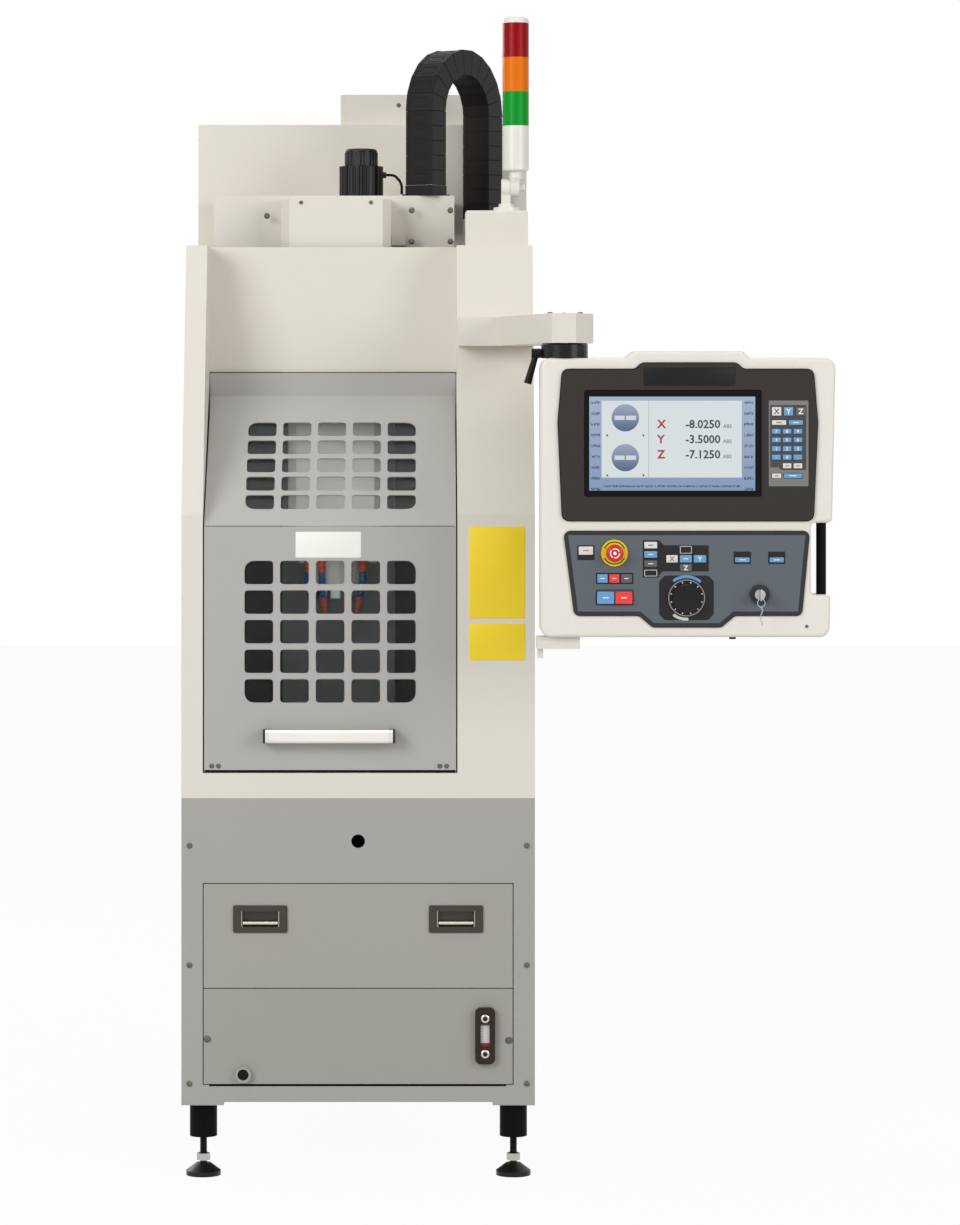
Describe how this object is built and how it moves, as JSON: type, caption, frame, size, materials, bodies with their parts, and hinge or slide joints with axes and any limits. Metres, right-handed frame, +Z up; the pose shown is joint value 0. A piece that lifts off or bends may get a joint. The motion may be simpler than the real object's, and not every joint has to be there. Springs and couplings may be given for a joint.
{
  "type": "cnc milling machine",
  "caption": "Narrow vertical machining centre with a lifting windowed door, chip drawer, cable chain, light tower and a control pendant on a swing arm.",
  "frame": {"origin": "middle of the cabinet's footprint, on the floor", "axes": "+Z up, -Y to the front, +X to the right seen from the front"},
  "size_m": [1.3835, 1.5775, 2.527],
  "materials": {
    "enclosure_paint": "satin",
    "base_paint": "satin",
    "door_paint": "satin",
    "drawer_paint": "satin",
    "black_plastic": "satin",
    "black_rubber": "matte",
    "zinc_steel": "satin",
    "tray_steel": "satin",
    "cast_iron": "matte",
    "ground_steel": "satin",
    "handle_aluminium": "satin",
    "clear_pane": "gloss",
    "hose_blue": "gloss",
    "tower_white": "satin",
    "tower_colours": "gloss",
    "pendant_shell": "satin",
    "charcoal_bezel": "satin",
    "screen_glass": "gloss",
    "panel_slate": "satin",
    "key_membrane": "satin",
    "stop_red": "gloss",
    "stop_yellow": "satin",
    "button_blue": "satin",
    "button_red": "satin"
  },
  "bodies": {
    "machine": {"base_cabinet": "base_paint", "leg_sleeves": "black_rubber", "levelling_feet": "zinc_steel", "tank_panel": "drawer_paint", "coolant_tank": "tray_steel", "sight_gauge": "black_plastic", "drain_fitting": "zinc_steel", "left_wall": "enclosure_paint", "right_column": "enclosure_paint", "right_wall": "enclosure_paint", "sill": "enclosure_paint", "hood": "enclosure_paint", "rear_cabinet": "enclosure_paint", "rear_tower": "enclosure_paint", "top_box": "enclosure_paint", "door_rails": "ground_steel", "machine_bed": "cast_iron", "column": "cast_iron", "linear_rails": "ground_steel", "cable_chain": "black_plastic", "chain_anchor": "zinc_steel", "tower_box": "enclosure_paint", "tower_foot": "tower_white", "pendant_arm": "enclosure_paint"},
    "door": {"door_lower": "door_paint", "door_upper": "door_paint", "door_panes": "clear_pane", "door_carriages": "zinc_steel", "door_handle": "handle_aluminium", "handle_brackets": "black_plastic"},
    "chip_drawer": {"drawer_front": "drawer_paint", "drawer_pulls": "black_plastic", "chip_tray": "tray_steel"},
    "cabinet_door": {"cabinet_door": "enclosure_paint"},
    "saddle": {"saddle": "cast_iron"},
    "table": {"table": "ground_steel"},
    "head": {"head_casting": "cast_iron", "head_cover": "enclosure_paint", "belt_cover": "enclosure_paint", "spindle_motor": "black_plastic", "motor_cable": "black_rubber", "coolant_hoses": "hose_blue"},
    "spindle": {"spindle": "ground_steel"},
    "light_tower": {"tower_body": "tower_white", "tower_lenses": "tower_colours"},
    "pendant": {"swivel_collar": "black_plastic", "pendant_housing": "pendant_shell", "screen_bezel": "charcoal_bezel", "display": "screen_glass", "membrane_keys": "key_membrane", "control_panel": "panel_slate", "stop_ring": "stop_yellow", "grip_bar": "black_plastic", "lower_bracket": "enclosure_paint"},
    "clamp_lever": {"clamp_lever": "black_plastic"},
    "stop_button": {"stop_button": "stop_red"},
    "start_button": {"start_button": "button_blue"},
    "hold_button": {"hold_button": "button_red"},
    "handwheel": {"handwheel": "black_plastic"},
    "switch_key": {"switch_key": "zinc_steel"}
  },
  "joints": [
    {"name": "door_lift", "type": "slide", "parent": "machine", "child": "door", "axis": [0, 0, 1], "range_m": [0, 0.5]},
    {"name": "drawer_slide", "type": "slide", "parent": "machine", "child": "chip_drawer", "axis": [0, -1, 0], "range_m": [0, 0.45]},
    {"name": "cabinet_door_swing", "type": "hinge", "parent": "machine", "child": "cabinet_door", "pos_m": [-0.375, 0.616, 1.4], "axis": [0, 0, 1], "range_deg": [0, 110]},
    {"name": "y_axis", "type": "slide", "parent": "machine", "child": "saddle", "axis": [0, 1, 0], "range_m": [-0.12, 0.12]},
    {"name": "x_axis", "type": "slide", "parent": "saddle", "child": "table", "axis": [1, 0, 0], "range_m": [-0.14, 0.14]},
    {"name": "z_axis", "type": "slide", "parent": "machine", "child": "head", "axis": [0, 0, 1], "range_m": [-0.23, 0], "deforming": ["cable_chain"]},
    {"name": "spindle_turn", "type": "hinge", "parent": "head", "child": "spindle", "pos_m": [-0.056, -0.2095, 1.25], "axis": [0, 0, 1], "continuous": true},
    {"name": "tower_tilt", "type": "hinge", "parent": "machine", "child": "light_tower", "pos_m": [0.334, -0.3345, 2.149], "axis": [1, 0, 0], "range_deg": [0, 90]},
    {"name": "pendant_swivel", "type": "hinge", "parent": "machine", "child": "pendant", "pos_m": [0.436, -0.8595, 1.78], "axis": [0, 0, 1], "range_deg": [-100, 85]},
    {"name": "clamp_turn", "type": "hinge", "parent": "pendant", "child": "clamp_lever", "pos_m": [0.387, -0.8595, 1.774], "axis": [1, 0, 0], "range_deg": [-60, 60]},
    {"name": "stop_push", "type": "slide", "parent": "pendant", "child": "stop_button", "axis": [0, 1, 0], "range_m": [0, 0.006]},
    {"name": "start_push", "type": "slide", "parent": "pendant", "child": "start_button", "axis": [0, 1, 0], "range_m": [0, 0.003], "stiffness_N_per_m": 400},
    {"name": "hold_push", "type": "slide", "parent": "pendant", "child": "hold_button", "axis": [0, 1, 0], "range_m": [0, 0.003], "stiffness_N_per_m": 400},
    {"name": "handwheel_turn", "type": "hinge", "parent": "pendant", "child": "handwheel", "pos_m": [0.688, -0.9125, 1.264], "axis": [0, 1, 0], "continuous": true},
    {"name": "key_turn", "type": "hinge", "parent": "pendant", "child": "switch_key", "pos_m": [0.8407, -0.9125, 1.271], "axis": [0, -1, 0], "range_deg": [0, 90]}
  ]
}
